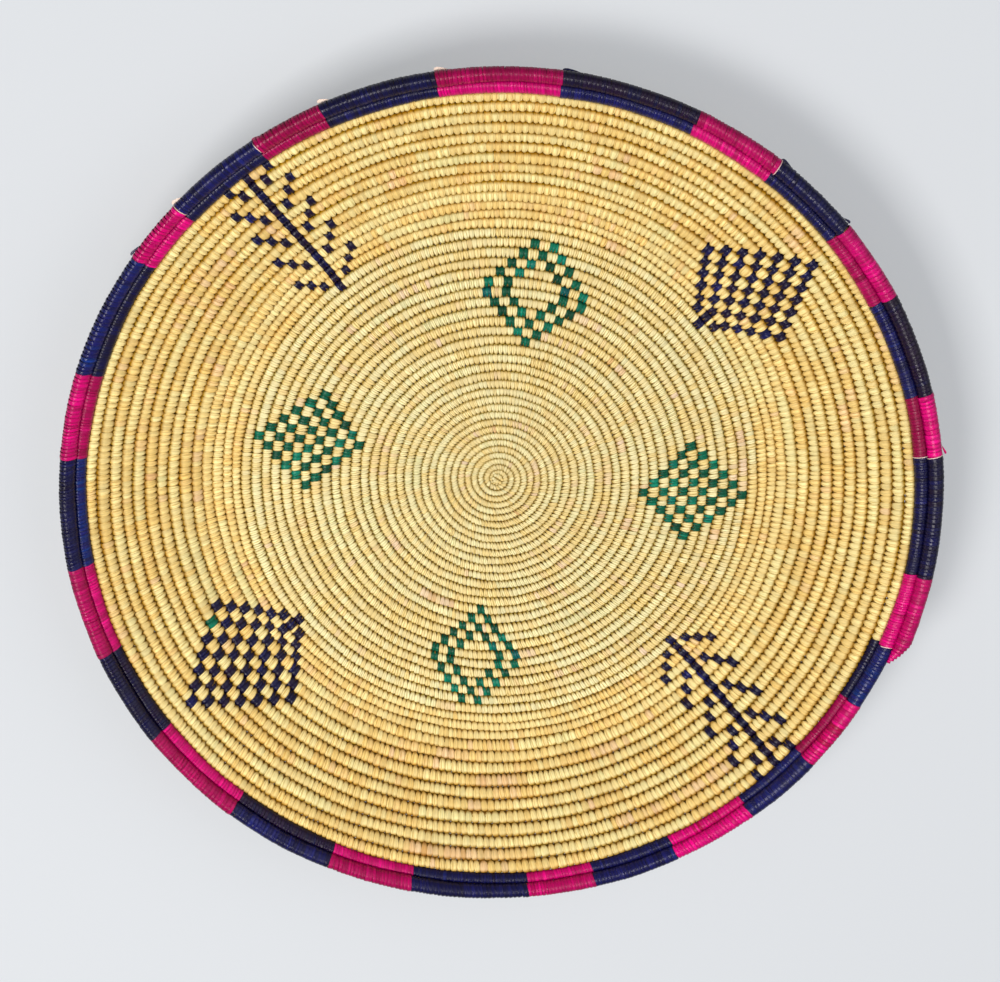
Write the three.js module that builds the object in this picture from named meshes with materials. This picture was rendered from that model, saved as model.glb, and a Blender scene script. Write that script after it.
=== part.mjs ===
import * as THREE from 'three';

// A coiled palm-leaf tray: one bundle, wrapped in leaf strip, is wound from a knot into a flat spiral base
// and on up a low wall. Its last two rows are wrapped in dyed blocks, each stitched over both rows.
// Millimetres, +Z up. The tray stands on Z = 0 with the knot on the Z axis.
// A place along the coil is given in turns from the knot. The coil winds clockwise, seen from above.

// How many turns each stretch of the coil has. The wall then goes on to the angle where the rim's first
// block begins.
const BASE_TURNS = 29;
const WALL_TURNS = 14;
const RIM_TURNS = 2;

// How wide a row is, at the knot, on the base, on the wall and in the two rim rows
const CENTRE_ROW = 2.7;
const BASE_ROW = 4.6;
const WALL_ROW = 5.85;
const INNER_RIM_ROW = 4.9;
const OUTER_RIM_ROW = 6.7;

// The turns over which the rows widen from the knot, and over which the bundle thickens for the wall
const WIDENING_TURNS = 20;
const THICKENING_FROM = 31.5;
const THICKENING_TURNS = 1.5;

// A row is nearly round: its height as a share of its clear width, how high its shoulders are in that
// height, and how wide its foot and its crown are in that width
const ROW_ROUNDNESS = 1;
const SHOULDER_HEIGHT = 0.5;
const FOOT_WIDTH = 0.56;
const CROWN_WIDTH = 0.44;

// Clear air between two rows, and between two lengths of wrapping that meet along a row
const ROW_GAP = 0.5;
const END_GAP = 0.3;

// The wall
const WALL_SLOPE = THREE.MathUtils.degToRad(30);
const WALL_BEND_RADIUS = 40;

// The knot
const KNOT_RADIUS = 2.1;
const KNOT_HEIGHT = 2.4;

// The coil's tail thins over this length to this share of its section
const TAIL_LENGTH = 15;
const TAIL_SHARE = 0.35;

// Height of the stitched seam that holds the two rim rows of a block together
const SEAM_HEIGHT = 2;

// Facets: rings per turn near the knot, further out, and from there to the rim
const INNER_STEPS = 8;
const MIDDLE_STEPS = 16;
const OUTER_STEPS = 32;
const INNER_STEPS_END = 4;
const MIDDLE_STEPS_END = 17;
const KNOT_SIDES = 12;

// Where the dyed blocks of the rim begin, in degrees anticlockwise from +X; magenta and navy by turns
const BLOCK_STARTS = [
  -21.5, -10.5, 6.5, 15, 29, 40, 52, 64, 82, 98, 113, 122.5, 135.5, 144,
  161, 173, 188.5, 201.5, 215, 230, 245.5, 257.5, 274, 283.5, 295.5, 307.5, 318.5, 329,
];

const LEAF = { colour: '#dec78f', roughness: 0.55 };
const NAVY = { colour: '#232357', roughness: 0.4 };
const MAGENTA = { colour: '#cf1274', roughness: 0.4 };

const DEGREES_PER_TURN = 360;
const NATURAL_END = BASE_TURNS + WALL_TURNS - BLOCK_STARTS[0] / DEGREES_PER_TURN;
const COIL_END = NATURAL_END + RIM_TURNS;
const FULL_CIRCLE = 2 * Math.PI;

// Width of the row that starts at each of these turns; between two of them it changes steadily
const ROW_WIDTHS = [
  [0, CENTRE_ROW],
  [WIDENING_TURNS, BASE_ROW],
  [THICKENING_FROM, BASE_ROW],
  [THICKENING_FROM + THICKENING_TURNS, WALL_ROW],
  [NATURAL_END, WALL_ROW],
  [NATURAL_END, INNER_RIM_ROW],
  [NATURAL_END + 1, INNER_RIM_ROW],
  [NATURAL_END + 1, OUTER_RIM_ROW],
  [COIL_END + 1, OUTER_RIM_ROW],
];

// Distance along the tray's underside from the centre to the inner edge of the row at this turn
function edgeArc(turn) {
  let arc = KNOT_RADIUS + ROW_GAP / 2;
  for (let i = 1; i < ROW_WIDTHS.length; i += 1) {
    const [start, startWidth] = ROW_WIDTHS[i - 1];
    const [end, endWidth] = ROW_WIDTHS[i];
    if (turn <= start) break;
    const done = Math.min(turn, end) - start;
    const width = startWidth + ((endWidth - startWidth) * done) / (end - start || 1);
    arc += (done * (startWidth + width)) / 2;
  }
  return arc;
}

// The underside, seen in section: flat under the base, then a bend, then the straight wall
const FLAT_RADIUS = edgeArc(BASE_TURNS + 1);
const BEND_ARC = WALL_BEND_RADIUS * WALL_SLOPE;

function underside(arc) {
  const bent = THREE.MathUtils.clamp(arc - FLAT_RADIUS, 0, BEND_ARC);
  const straight = Math.max(arc - FLAT_RADIUS - BEND_ARC, 0);
  const slope = bent / WALL_BEND_RADIUS;
  return {
    radius: Math.min(arc, FLAT_RADIUS) + WALL_BEND_RADIUS * Math.sin(slope) + straight * Math.cos(slope),
    height: WALL_BEND_RADIUS * (1 - Math.cos(slope)) + straight * Math.sin(slope),
    slope,
  };
}

// Clear width and height of the row at this turn
function rowSize(turn) {
  const width = edgeArc(turn + 1) - edgeArc(turn) - ROW_GAP;
  return { width, height: width * ROW_ROUNDNESS };
}

// A point of the row: across it from its middle, and up from the underside, square to it
function rowPoint(turn, across, up) {
  const middle = (edgeArc(turn) + edgeArc(turn + 1)) / 2;
  const { radius, height, slope } = underside(middle + across);
  const angle = -turn * FULL_CIRCLE;
  const reach = radius - up * Math.sin(slope);
  return new THREE.Vector3(reach * Math.cos(angle), reach * Math.sin(angle), height + up * Math.cos(slope));
}

// A length along the row at this turn, as a share of a turn
function turnShare(turn, length) {
  const middle = (edgeArc(turn) + edgeArc(turn + 1)) / 2;
  return length / (FULL_CIRCLE * underside(middle).radius);
}

// The corners of a row's section, from the inner side of its crown down and round. The tail's is drawn in
// to a share of its size, towards the row inside it.
function rowCorners(turn, share = 1) {
  const { width, height } = rowSize(turn);
  const corners = [
    [-CROWN_WIDTH / 2, 1],
    [-1 / 2, SHOULDER_HEIGHT],
    [-FOOT_WIDTH / 2, 0],
    [FOOT_WIDTH / 2, 0],
    [1 / 2, SHOULDER_HEIGHT],
    [CROWN_WIDTH / 2, 1],
  ];
  return corners.map(([across, up]) => rowPoint(
    turn,
    width * (across * share - (1 - share) / 2),
    height * (up * share + SHOULDER_HEIGHT * (1 - share)),
  ));
}

// How much of its full size the coil still has at this turn
function tailShare(turn) {
  const tailTurns = turnShare(COIL_END, TAIL_LENGTH);
  const left = THREE.MathUtils.clamp((COIL_END - turn) / tailTurns, 0, 1);
  return TAIL_SHARE + (1 - TAIL_SHARE) * Math.sqrt(left);
}

// The section of a dyed block: the row at this turn, the row outside it, and the seam between them
function blockCorners(turn) {
  const inner = rowCorners(turn);
  const outer = rowCorners(turn + 1, tailShare(turn + 1));
  const toSeam = (edgeArc(turn + 1) - edgeArc(turn)) / 2;
  const seamMiddle = rowSize(turn).height * SHOULDER_HEIGHT;
  const seamFoot = rowPoint(turn, toSeam, seamMiddle - SEAM_HEIGHT / 2);
  const seamTop = rowPoint(turn, toSeam, seamMiddle + SEAM_HEIGHT / 2);
  return [...inner.slice(0, 4), seamFoot, ...outer.slice(2), outer[0], seamTop, inner[5]];
}

function stepsPerTurn(turn) {
  if (turn < INNER_STEPS_END) return INNER_STEPS;
  return turn < MIDDLE_STEPS_END ? MIDDLE_STEPS : OUTER_STEPS;
}

const ROUNDING = 1e-6;

// The last ring at or before this turn, and the first one after it
function ringsAround(turn) {
  const steps = stepsPerTurn(turn + ROUNDING);
  const before = Math.floor(turn * steps + ROUNDING) / steps;
  return [before, before + 1 / steps];
}

// The corners of a section at any turn, on the straight facets between two rings of the coil,
// so that what starts or ends between two rings still keeps its gap to the facets of its neighbours
function facetCorners(turn, corners) {
  const [before, after] = ringsAround(turn);
  const share = (turn - before) / (after - before);
  const end = corners(after);
  return corners(before).map((corner, i) => corner.lerp(end[i], share));
}

// The turns of a winding's rings: its two ends, and every ring of the coil that lies well between them
const SHORTEST_STEP = 0.002;

function ringTurns(from, to) {
  const turns = [from];
  for (let ring = ringsAround(from)[1]; ring < to - SHORTEST_STEP; ring = ringsAround(ring)[1]) {
    if (ring > from + SHORTEST_STEP) turns.push(ring);
  }
  return [...turns, to];
}

// A closed solid along the coil: one unbroken tube of the given section from one turn to another
function wind(from, to, corners) {
  const rings = ringTurns(from, to).map((turn) => facetCorners(turn, corners));
  const sides = rings[0].length;
  const last = (rings.length - 1) * sides;
  const faces = [];
  for (let here = 0; here < last; here += sides) {
    for (let side = 0; side < sides; side += 1) {
      const next = (side + 1) % sides;
      faces.push(here + side, here + next, here + sides + next);
      faces.push(here + side, here + sides + next, here + sides + side);
    }
  }
  const flat = rings[0].map((corner) => new THREE.Vector2(Math.hypot(corner.x, corner.y), corner.z));
  for (const [a, b, c] of THREE.ShapeUtils.triangulateShape(flat, [])) {
    faces.push(a, c, b, last + a, last + b, last + c);
  }
  const geometry = new THREE.BufferGeometry();
  geometry.setFromPoints(rings.flat());
  geometry.setIndex(faces);
  geometry.computeVertexNormals();
  return geometry;
}

const tray = new THREE.Group();

function addPiece(name, geometry, finish) {
  const material = new THREE.MeshStandardMaterial({
    color: finish.colour,
    roughness: finish.roughness,
    metalness: 0,
  });
  const mesh = new THREE.Mesh(geometry, material);
  mesh.name = name;
  tray.add(mesh);
}

// The starting knot, a low button
const knot = new THREE.LatheGeometry([
  new THREE.Vector2(0, 0),
  new THREE.Vector2(KNOT_RADIUS * FOOT_WIDTH, 0),
  new THREE.Vector2(KNOT_RADIUS, KNOT_HEIGHT * SHOULDER_HEIGHT),
  new THREE.Vector2(KNOT_RADIUS * FOOT_WIDTH, KNOT_HEIGHT),
  new THREE.Vector2(0, KNOT_HEIGHT),
], KNOT_SIDES).rotateX(Math.PI / 2);
addPiece('coil_start', knot, LEAF);

// The natural coil: its flat part and its wall, which meet end to end
const wallStart = BASE_TURNS + turnShare(BASE_TURNS, END_GAP);
const naturalEnd = NATURAL_END - turnShare(NATURAL_END, END_GAP);
addPiece('base_coil', wind(0, BASE_TURNS, rowCorners), LEAF);
addPiece('wall_coil', wind(wallStart, naturalEnd, rowCorners), LEAF);

// The dyed rim: a block wraps the same stretch of both rows, from the angle where it begins to the next
// block's. The coil ends at the first angle, in the first block.
const inRow = (angle) => NATURAL_END + 1 - (angle - BLOCK_STARTS[0]) / DEGREES_PER_TURN;
BLOCK_STARTS.forEach((start, i) => {
  const end = i + 1 < BLOCK_STARTS.length ? BLOCK_STARTS[i + 1] : BLOCK_STARTS[0] + DEGREES_PER_TURN;
  const to = inRow(start);
  const [colourName, finish] = i % 2 === 0 ? ['magenta', MAGENTA] : ['navy', NAVY];
  const number = String(Math.floor(i / 2) + 1).padStart(2, '0');
  const block = wind(inRow(end), to - turnShare(to, END_GAP), blockCorners);
  addPiece(`rim_${colourName}_${number}`, block, finish);
});

// The coil's least gap to itself, measured from the outer shoulder of each ring to the row outside it
let leastGap = Infinity;
for (let turn = 0; turn < NATURAL_END - 1; turn += 1 / OUTER_STEPS) {
  const outerShoulder = facetCorners(turn, rowCorners)[4];
  const innerShoulder = facetCorners(turn + 1, rowCorners)[1];
  leastGap = Math.min(leastGap, outerShoulder.distanceTo(innerShoulder));
}
console.log(`least gap between two rows of the coil: ${leastGap.toFixed(2)} mm`);

export default tray;
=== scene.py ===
# %% [markdown]
# # A coiled palm-leaf tray
# A coiled tray is one long bundle of grass, laid in a spiral and wrapped in strips of palm leaf all the way.
# Every wrap goes round the bundle and is pulled through the row inside it, which holds the rows together.
# The solids in the frame have the coil's path and thickness. This lesson lays thousands of wraps along that
# path with Geometry Nodes, gives each its leaf or its dye, and lights the tray as on a pale table.

# %% Load the solid tray
import math
import random
from collections import namedtuple

import bmesh
import bpy
import numpy as np
from mathutils import Matrix, Vector


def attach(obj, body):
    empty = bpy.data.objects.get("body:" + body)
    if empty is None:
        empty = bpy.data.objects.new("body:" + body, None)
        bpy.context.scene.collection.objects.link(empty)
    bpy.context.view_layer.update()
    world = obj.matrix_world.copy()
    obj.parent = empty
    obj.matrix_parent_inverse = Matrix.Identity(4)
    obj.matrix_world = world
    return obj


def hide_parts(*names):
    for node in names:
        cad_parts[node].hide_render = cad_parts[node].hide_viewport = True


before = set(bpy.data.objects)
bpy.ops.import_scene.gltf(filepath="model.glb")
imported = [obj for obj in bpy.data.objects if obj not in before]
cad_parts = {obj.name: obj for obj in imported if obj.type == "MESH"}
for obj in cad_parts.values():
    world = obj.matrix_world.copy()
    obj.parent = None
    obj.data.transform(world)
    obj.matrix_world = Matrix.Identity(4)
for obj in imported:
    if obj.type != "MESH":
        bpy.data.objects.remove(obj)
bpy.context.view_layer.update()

# %% [markdown]
# ## The path of the coil
# A place along the coil is a number of turns from the knot. The solids were drawn from a few widths, so the
# same widths, in millimetres, give the wraps their places here, and no point is read from a mesh.
# Rows are 2.7 mm wide at the knot, 4.6 mm on the outer base and 5.85 mm on the wall. The two dyed rows of the
# rim are 4.9 and 6.7 mm wide.

# %% Measures of the coil, in millimetres
MM = 0.001  # in metres
BASE_TURNS = 29
WALL_TURNS = 14
COIL_ENDS_AT = -21.5  # degrees anticlockwise from +X
NATURAL_END = BASE_TURNS + WALL_TURNS - COIL_ENDS_AT / 360
COIL_END = NATURAL_END + 2
ROW_GAP = 0.5
KNOT_RADIUS = 2.1
WALL_SLOPE = math.radians(30)
WALL_BEND_RADIUS = 40
TAIL_LENGTH = 12
TAIL_SHARE = 0.1  # of the full width, at the very end
TAIL_FULLNESS = 0.8  # below 1, the tail stays full for longer
TAIL_PAST_JOINT = 7
ROW_WIDTHS = [
    (0, 2.7), (20, 4.6), (31.5, 4.6), (33, 5.85), (NATURAL_END, 5.85),
    (NATURAL_END, 4.9), (NATURAL_END + 1, 4.9), (NATURAL_END + 1, 6.7), (COIL_END + 1, 6.7),
]


def edge_arc(turn):
    """Distance along the underside from the centre to the inner edge of the row at this turn."""
    arc = KNOT_RADIUS + ROW_GAP / 2
    for (start, start_width), (end, end_width) in zip(ROW_WIDTHS, ROW_WIDTHS[1:]):
        if turn <= start:
            break
        done = min(turn, end) - start
        width = start_width + (end_width - start_width) * done / ((end - start) or 1)
        arc += done * (start_width + width) / 2
    return arc


FLAT_RADIUS = edge_arc(BASE_TURNS + 1)
print("radius of the flat base:", round(FLAT_RADIUS, 1), "mm")

# %% [markdown]
# ## A frame at each place of the coil
# A wrap needs to know where the bundle's middle is, which way the coil runs, which way is up from the
# underside, and how wide and thick the row is. The underside is flat, then bends up, then runs straight.
# The coil's tail goes on for 7 mm past the joint, and thins over its last 12 mm towards the row inside it.
# A hand-laid coil isn't even, so the line between two rows wanders by up to 0.33 mm, and both rows follow it.

# %% The coil's frame
WANDERS = [(5.3, 0.13), (13.7, 0.12), (29.1, 0.08)]  # waves in a turn, and their height in millimetres
WANDER_GROWS_UNTIL = 12  # turns from the knot


def underside(arc):
    """Radius, height and slope of the tray's underside at this distance from the centre."""
    bent = min(max(arc - FLAT_RADIUS, 0), WALL_BEND_RADIUS * WALL_SLOPE)
    straight = max(arc - FLAT_RADIUS - WALL_BEND_RADIUS * WALL_SLOPE, 0)
    slope = bent / WALL_BEND_RADIUS
    radius = min(arc, FLAT_RADIUS) + WALL_BEND_RADIUS * math.sin(slope) + straight * math.cos(slope)
    return radius, WALL_BEND_RADIUS * (1 - math.cos(slope)) + straight * math.sin(slope), slope


def coil_radius(turn):
    return underside((edge_arc(turn) + edge_arc(turn + 1)) / 2)[0]


TAIL_END = COIL_END + TAIL_PAST_JOINT / (math.tau * coil_radius(COIL_END))
COIL_START = -0.85  # the bundle starts thin, beside the knot


def wandering_edge(turn):
    shift = sum(height * math.sin(math.tau * waves * turn) for waves, height in WANDERS)
    return edge_arc(turn) + shift * min(max(turn, 0) / WANDER_GROWS_UNTIL, 1)


def coil_frame(turn):
    """The bundle's middle, its three directions (along, across and up), and its width and thickness."""
    inner, outer = wandering_edge(turn), wandering_edge(turn + 1)
    radius, height, slope = underside((inner + outer) / 2)
    width, thickness = outer - inner, max(outer - inner, ROW_WIDTHS[0][1]) - ROW_GAP
    angle = -turn * math.tau
    outward = Vector((math.cos(angle), math.sin(angle), 0))
    above = Vector((0, 0, 1))
    across = outward * math.cos(slope) + above * math.sin(slope)
    up = above * math.cos(slope) - outward * math.sin(slope)
    along = (across.cross(up) * math.tau * radius + across * width).normalized()
    left = max(TAIL_END - turn, 0) * math.tau * radius / TAIL_LENGTH
    share = TAIL_SHARE + (1 - TAIL_SHARE) * min(left, 1) ** TAIL_FULLNESS
    middle = outward * radius + above * height + up * thickness / 2 - across * width * (1 - share) / 2
    return middle, along, across, up, width * share, thickness * share


print("rim row, middle in mm:", [round(v, 1) for v in coil_frame(COIL_END - 0.5)[0]])

# %% [markdown]
# ## Where the maker changed strips
# Colour comes from the strip in the needle. For a motif the maker wraps two or three times with a dyed strip,
# two or three times with a natural one, and so on, and shifts the start by one cell in the next row. So a
# motif is a list of cells: a row of the coil, a place along it, and a length of about 4 mm.
# Four green diamonds stand on the base, two of them open, and navy diamonds and fronds run up the wall.

# %% The motifs, cell by cell
STALK_PLACES = [-6, 0, 6]  # of the three cells in the second row of a stalked diamond, in millimetres
LEAFLET_START, LEAFLET_STEP, LEAFLET_ROWS = 6.3, 4.4, 3
CELL_GAP = 0.3  # millimetres by which a cell is shorter than its place


def chequer(count, cell):
    """Places of this many cells with gaps as long as a cell between them, centred on zero."""
    return [(2 * i - (count - 1)) * cell for i in range(count)]


def full_diamond(rows, cell):
    return [chequer(min(row + 1, rows - row), cell) for row in range(rows)]


def open_diamond(rows, cell):
    cells = [chequer(min(row + 1, rows + 1 - row), cell) for row in range(rows)]
    return [places[:2] + places[2:][-2:] for places in cells]


def stalked_diamond(rows, cell):
    return [STALK_PLACES if row == 1 else places for row, places in enumerate(full_diamond(rows, cell))]


def frond(rows):
    """A stem with a leaflet on each side that steps outwards over three rows, and then starts again."""
    leaflets = [LEAFLET_START + LEAFLET_STEP * (row % LEAFLET_ROWS) for row in range(rows - 1)]
    return [[0]] + [[-leaflet, 0, leaflet] for leaflet in leaflets]


# colour, first row, angle in degrees from +X, degrees it drifts per row, degrees it bows out of line at its
# middle row, length of a cell, places of its cells
MOTIFS = [
    ("green", 18, 165.0, 0.35, 0, 4.5, full_diamond(11, 4.5)),
    ("green", 18, -5.53, 0.14, 0.92, 4.45, full_diamond(11, 4.45)),
    ("green", 18, 79.2, 0, 0, 4.4, open_diamond(11, 4.4)),
    ("green", 18, 263.1, 0, 0, 3.85, open_diamond(11, 3.85)),
    ("navy", 29, 39.07, -0.1, 0.85, 4.5, stalked_diamond(13, 4.5)),
    ("navy", 29, 216.2, -0.13, 0, 4.9, stalked_diamond(13, 4.9)),
    ("navy", 29, 127.4, -0.08, 0, 3.8, frond(15)),
    ("navy", 29, 315.5, -0.05, 0, 4.0, frond(15)),
]
STRAY_CELL = (216.2, 7, 0)  # one green cell at the edge of the lower left diamond: its angle, row and place

cells = []
for colour, first_row, angle, drift, bow, length, rows in MOTIFS:
    for row, places in enumerate(rows):
        from_middle = 2 * row / (len(rows) - 1) - 1
        row_angle = angle + drift * row + bow * (1 - from_middle**2)
        for number, place in enumerate(places):
            at = first_row + row - row_angle / 360
            per_mm = 1 / (math.tau * coil_radius(at))
            middle, half = at - place * per_mm, (length - CELL_GAP) * per_mm / 2
            stray = (angle, row, number) == STRAY_CELL
            cells.append((middle - half, middle + half, "green" if stray else colour))
cells.sort()
closest = min(after[0] - before[1] for before, after in zip(cells, cells[1:]))
print(len(cells), "motif cells, the closest two", round(closest, 4), "turns apart")

# %% [markdown]
# ## The dyed blocks of the rim
# The last two rows change between magenta and navy at the same angles, so a block covers both rows. The
# blocks are uneven, 8.5 to 18 degrees long. The coil ends in the first magenta block. At some joints the new
# strip shows the pale inside of the leaf along its edge.

# %% Stretches of one colour, from the knot to the tail
BLOCK_STARTS = [
    COIL_ENDS_AT, -10.5, 6.5, 15, 29, 40, 52, 64, 82, 98, 113, 122.5, 135.5, 144,
    161, 173, 188.5, 201.5, 215, 230, 245.5, 257.5, 274, 283.5, 295.5, 307.5, 318.5, 329,
]

PALE_JOINTS = [[6.5], [COIL_ENDS_AT, 6.5, 52, 122.5, 135.5]]  # angles in the inner and in the outer rim row
PALE_EDGE = 0.4  # millimetres of the leaf's pale inside that show where such a block starts

stretches, reached = [], COIL_START
for start, end, colour in cells:
    stretches += [(reached, start, "natural"), (start, end, colour)]
    reached = end
stretches.append((reached, NATURAL_END, "natural"))
for row_end, pale_joints in zip((NATURAL_END + 1, COIL_END), PALE_JOINTS):
    for i in reversed(range(len(BLOCK_STARTS))):
        until = BLOCK_STARTS[i + 1] if i + 1 < len(BLOCK_STARTS) else BLOCK_STARTS[0] + 360
        start, end = (row_end - (angle - BLOCK_STARTS[0]) / 360 for angle in (until, BLOCK_STARTS[i]))
        if until in pale_joints or until - 360 in pale_joints:
            stretches.append((start, start + PALE_EDGE / (math.tau * coil_radius(start)), "pale rim"))
            start = stretches[-1][1]
        stretches.append((start, end, ("magenta rim", "navy rim")[i % 2]))
stretches.append((COIL_END, TAIL_END, "magenta rim"))
print(len(stretches), "stretches of one colour")

# %% [markdown]
# ## Every single wrap
# A strip of leaf lasts for up to fourteen wraps, and then the next strip is sewn in. Wraps of one strip share
# its shade of leaf and about its width, so the rows change in short runs and not from wrap to wrap.
# Strips are 1.1 mm wide at the knot, 2.1 to 2.2 mm on the outer base and 2.8 mm on the wall, and narrower in
# motifs and rim. Where a dyed block starts, the last strip's end lies under the first wraps, so they bulge a
# little. So do the short natural beads inside a motif, because the dyed strip that waits for its turn lies
# under them.

# %% Lay the wraps
Wrap = namedtuple("Wrap", "turn width colour hue shade girth lean")
rng = random.Random(11)
STRIP_WIDTH_AT = [0, 5, 20, 29, 33, 43]
STRIP_WIDTHS = [1.1, 1.45, 2.05, 2.2, 2.75, 2.85]
RIM_STRIP_WIDTHS = [1.45, 1.8]
MOTIF_STRIP_SHARE = 0.72
STRIP_WIDTH_VARIES, WRAP_WIDTH_VARIES = (0.85, 1.2), (0.8, 1.2)
WRAPS_OF_A_STRIP = (4, 14)
JOINT_BULGE, BULGING_WRAPS = 0.06, 4
LONGEST_BEAD, BEAD_GIRTH, BLOCK_GIRTHS = 8, 1.07, (0.98, 1.03)
GIRTH_SPREAD, RIM_GIRTH_SPREAD = 0.03, 0.012
# middle and spread of a stretch's hue, on its leaf's ramp from 0 to 1
HUES = {"pale rim": (0.1, 0.02), "navy": (0.2, 0.13)}
OTHER_HUES, NATURAL_HUES, HUE_SPREAD = (0.45, 0.22), (0.5, 0.12), 0.09
SHADES, BEAD_SHADES, SHADE_SPREAD = (0.2, 0.8), (0.5, 0.9), 0.15
RIM_LEAN, LEAN_SPREAD = math.radians(9), math.radians(4)
LEAN_AT, USUAL_LEAN, LEAN_SWING = [0, 12, 26, 33], [28, 12, 8, 6], [6, 6, 6, 3]  # turns, then degrees
LEAN_PHASE = 0.75  # so that wraps lean most at the bottom of the picture
ROUNDING = 1e-7  # a stretch is done when this part of a turn is left


def usual_width(turn, colour):
    if "rim" in colour:
        return RIM_STRIP_WIDTHS[turn > NATURAL_END + 1]
    width = float(np.interp(turn, STRIP_WIDTH_AT, STRIP_WIDTHS))
    return width if colour == "natural" else width * MOTIF_STRIP_SHARE


def natural_lean(turn):
    """How far a wrap leans, in radians, which changes slowly round the tray."""
    usual, swing = np.interp(turn, LEAN_AT, USUAL_LEAN), np.interp(turn, LEAN_AT, LEAN_SWING)
    return math.radians(usual + swing * math.cos(math.tau * (LEAN_PHASE + turn)))


wraps = []
for start, end, colour in stretches:
    turn, laid, rim = start, 0, "rim" in colour
    bead = colour == "natural" and (end - start) * math.tau * coil_radius(start) < LONGEST_BEAD
    hue = rng.gauss(*HUES.get(colour, OTHER_HUES))
    block_girth = rng.uniform(*BLOCK_GIRTHS) if rim else BEAD_GIRTH if bead else 1
    block_lean = rng.gauss(RIM_LEAN, LEAN_SPREAD)
    while end - turn > ROUNDING:
        hue = rng.gauss(*NATURAL_HUES) if colour == "natural" else hue
        shade = rng.uniform(*BEAD_SHADES if bead else SHADES)
        per_mm = 1 / (math.tau * coil_radius(turn))
        strip_turns = per_mm * usual_width(turn, colour) * rng.uniform(*STRIP_WIDTH_VARIES)
        left = max(1, round((end - turn) / strip_turns))
        count = min(left, rng.randint(*WRAPS_OF_A_STRIP))
        step = (end - turn) / left
        shares = [rng.uniform(*WRAP_WIDTH_VARIES) for _ in range(count)]
        for share in shares:
            width = step * share * count / sum(shares)
            bulge = JOINT_BULGE * math.exp(-laid / BULGING_WRAPS) if rim else 0
            wrap_hue, wrap_shade = rng.gauss(hue, HUE_SPREAD), rng.gauss(shade, SHADE_SPREAD)
            girth = block_girth * rng.gauss(1, RIM_GIRTH_SPREAD if rim else GIRTH_SPREAD) + bulge
            lean = block_lean if rim else natural_lean(turn)
            wraps.append(Wrap(turn + width / 2, width / per_mm, colour, wrap_hue, wrap_shade, girth, lean))
            turn += width
            laid += 1
print(len(wraps), "wraps on", round(sum(wrap.width for wrap in wraps) / 1000, 1), "m of coil")

# %% [markdown]
# ## One tree that wraps a strip round the bundle
# A wrap is a band: a small grid is rolled round the bundle's section, which is a rounded square because the
# rows press on each other. Its edges sink into the bundle, so that each wrap is a little barrel, and its
# inner end is drawn in where it goes through the row inside it. That leaves the dark holes between the rows.
# Each point of the cloud carries the wrap's directions and size, so one tree serves every piece. Instances
# keep that light while it is built, and they are realised at the end, so that the piece is a plain mesh.

# %% Helpers that add nodes


def add_node(tree, kind, settings=None, inputs=None):
    """Adds a node, gives it its settings, and sets or links its inputs by name or number."""
    node = tree.nodes.new(kind)
    for name, value in (settings or {}).items():
        setattr(node, name, value)
    for key, value in (inputs or {}).items():
        if isinstance(value, bpy.types.NodeSocket):
            tree.links.new(value, node.inputs[key])
        else:
            node.inputs[key].default_value = value
    return node


def maths(tree, operation, *values):
    """The answer of a maths node, from numbers and other nodes' outputs."""
    return add_node(tree, "ShaderNodeMath", {"operation": operation}, dict(enumerate(values))).outputs[0]


def vector_maths(tree, operation, *values):
    settings = {"operation": operation}
    return add_node(tree, "ShaderNodeVectorMath", settings, dict(enumerate(values))).outputs[0]


# %% The wrap tree: its inputs
wrap_tree = bpy.data.node_groups.new("leaf_wraps", "GeometryNodeTree")
wrap_tree.interface.new_socket("Geometry", in_out="OUTPUT", socket_type="NodeSocketGeometry")
wrap_inputs = {}
for label, kind in [
    ("Wrap Places", "Geometry"), ("Leaf", "Material"), ("Crown", "Float"), ("Inner End", "Float"),
    ("Outer End", "Float"), ("Reach", "Float"), ("Squareness", "Float"), ("Flatness", "Float"),
    ("Lean Spread", "Float"), ("Tilt", "Float"), ("Cells a Side", "Float"), ("Seed", "Int"),
]:
    socket = wrap_tree.interface.new_socket(label, in_out="INPUT", socket_type="NodeSocket" + kind)
    wrap_inputs[label] = socket.identifier
given = add_node(wrap_tree, "NodeGroupInput").outputs

# %% The wrap tree: roll a grid round the bundle
ACROSS_STRIP, ROUND_BUNDLE = 4, 13
grid = add_node(wrap_tree, "GeometryNodeMeshGrid", None, {
    "Size X": 2, "Size Y": 1, "Vertices X": ACROSS_STRIP, "Vertices Y": ROUND_BUNDLE,
})
mapped = add_node(wrap_tree, "GeometryNodeStoreNamedAttribute", {"data_type": "FLOAT2", "domain": "CORNER"}, {
    "Geometry": grid.outputs["Mesh"], "Name": "strip", "Value": grid.outputs["UV Map"],
})
position = add_node(wrap_tree, "GeometryNodeInputPosition").outputs[0]
grid_place = add_node(wrap_tree, "ShaderNodeSeparateXYZ", None, {0: position})
angle = maths(wrap_tree, "MULTIPLY", grid_place.outputs["Y"], math.tau)
cosine = maths(wrap_tree, "COSINE", angle)
sine = maths(wrap_tree, "SINE", angle)
round_place = add_node(wrap_tree, "ShaderNodeCombineXYZ", None, {
    "X": grid_place.outputs["X"], "Y": cosine, "Z": sine,
}).outputs[0]
powers = add_node(wrap_tree, "ShaderNodeCombineXYZ", None, {
    "X": given["Flatness"], "Y": given["Squareness"], "Z": given["Squareness"],
}).outputs[0]
size = vector_maths(wrap_tree, "ABSOLUTE", round_place)
squared = vector_maths(wrap_tree, "POWER", size, powers)
side = vector_maths(wrap_tree, "SIGN", round_place)
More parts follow.
